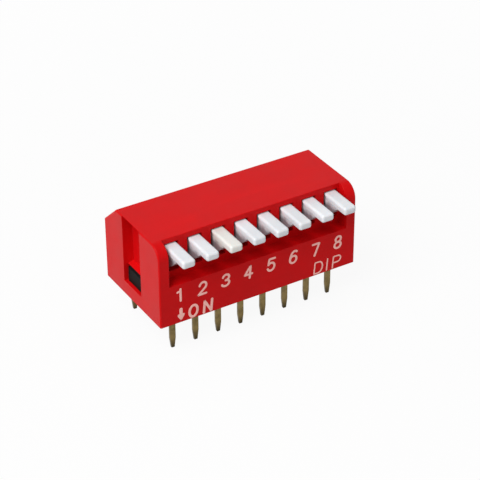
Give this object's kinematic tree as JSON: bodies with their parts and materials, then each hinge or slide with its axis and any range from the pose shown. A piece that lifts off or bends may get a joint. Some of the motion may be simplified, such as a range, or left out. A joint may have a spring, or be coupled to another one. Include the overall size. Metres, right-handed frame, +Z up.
{
  "type": "dip switch",
  "caption": "Piano-key DIP switch for through-hole boards: red cover with a row of white levers that tip down for on, black base and flat pins in two rows.",
  "frame": {"origin": "middle of the seating plane, where the cover's rim meets the board, midway between the two rows of pins", "axes": "+X along the row of levers from way 1 to way 8, -Y the side the levers stick out of, +Z up away from the board"},
  "size_m": [0.022, 0.013, 0.0126],
  "materials": {
    "cover_red": "satin moulded",
    "base_black": "matt moulded",
    "lever_white": "satin moulded",
    "terminal_metal": "plated, dull gold",
    "contact_metal": "plated, bright"
  },
  "bodies": {
    "housing": {"cover": "cover_red", "base": "base_black", "front_terminal_1": "terminal_metal", "front_terminal_2": "terminal_metal", "front_terminal_3": "terminal_metal", "front_terminal_4": "terminal_metal", "front_terminal_5": "terminal_metal", "front_terminal_6": "terminal_metal", "front_terminal_7": "terminal_metal", "front_terminal_8": "terminal_metal", "rear_terminal_1": "terminal_metal", "rear_terminal_2": "terminal_metal", "rear_terminal_3": "terminal_metal", "rear_terminal_4": "terminal_metal", "rear_terminal_5": "terminal_metal", "rear_terminal_6": "terminal_metal", "rear_terminal_7": "terminal_metal", "rear_terminal_8": "terminal_metal"},
    "rocker_1": {"lever_1": "lever_white", "contact_1": "contact_metal"},
    "rocker_2": {"lever_2": "lever_white", "contact_2": "contact_metal"},
    "rocker_3": {"lever_3": "lever_white", "contact_3": "contact_metal"},
    "rocker_4": {"lever_4": "lever_white", "contact_4": "contact_metal"},
    "rocker_5": {"lever_5": "lever_white", "contact_5": "contact_metal"},
    "rocker_6": {"lever_6": "lever_white", "contact_6": "contact_metal"},
    "rocker_7": {"lever_7": "lever_white", "contact_7": "contact_metal"},
    "rocker_8": {"lever_8": "lever_white", "contact_8": "contact_metal"}
  },
  "joints": [
    {"name": "lever_1_tilt", "type": "hinge", "parent": "housing", "child": "rocker_1", "pos_m": [-0.00889, -0.00235, 0.0062], "axis": [1, 0, 0], "range_deg": [0, 22]},
    {"name": "lever_2_tilt", "type": "hinge", "parent": "housing", "child": "rocker_2", "pos_m": [-0.00635, -0.00235, 0.0062], "axis": [1, 0, 0], "range_deg": [0, 22]},
    {"name": "lever_3_tilt", "type": "hinge", "parent": "housing", "child": "rocker_3", "pos_m": [-0.00381, -0.00235, 0.0062], "axis": [1, 0, 0], "range_deg": [0, 22]},
    {"name": "lever_4_tilt", "type": "hinge", "parent": "housing", "child": "rocker_4", "pos_m": [-0.00127, -0.00235, 0.0062], "axis": [1, 0, 0], "range_deg": [0, 22]},
    {"name": "lever_5_tilt", "type": "hinge", "parent": "housing", "child": "rocker_5", "pos_m": [0.00127, -0.00235, 0.0062], "axis": [1, 0, 0], "range_deg": [0, 22]},
    {"name": "lever_6_tilt", "type": "hinge", "parent": "housing", "child": "rocker_6", "pos_m": [0.00381, -0.00235, 0.0062], "axis": [1, 0, 0], "range_deg": [0, 22]},
    {"name": "lever_7_tilt", "type": "hinge", "parent": "housing", "child": "rocker_7", "pos_m": [0.00635, -0.00235, 0.0062], "axis": [1, 0, 0], "range_deg": [0, 22]},
    {"name": "lever_8_tilt", "type": "hinge", "parent": "housing", "child": "rocker_8", "pos_m": [0.00889, -0.00235, 0.0062], "axis": [1, 0, 0], "range_deg": [0, 22]}
  ]
}
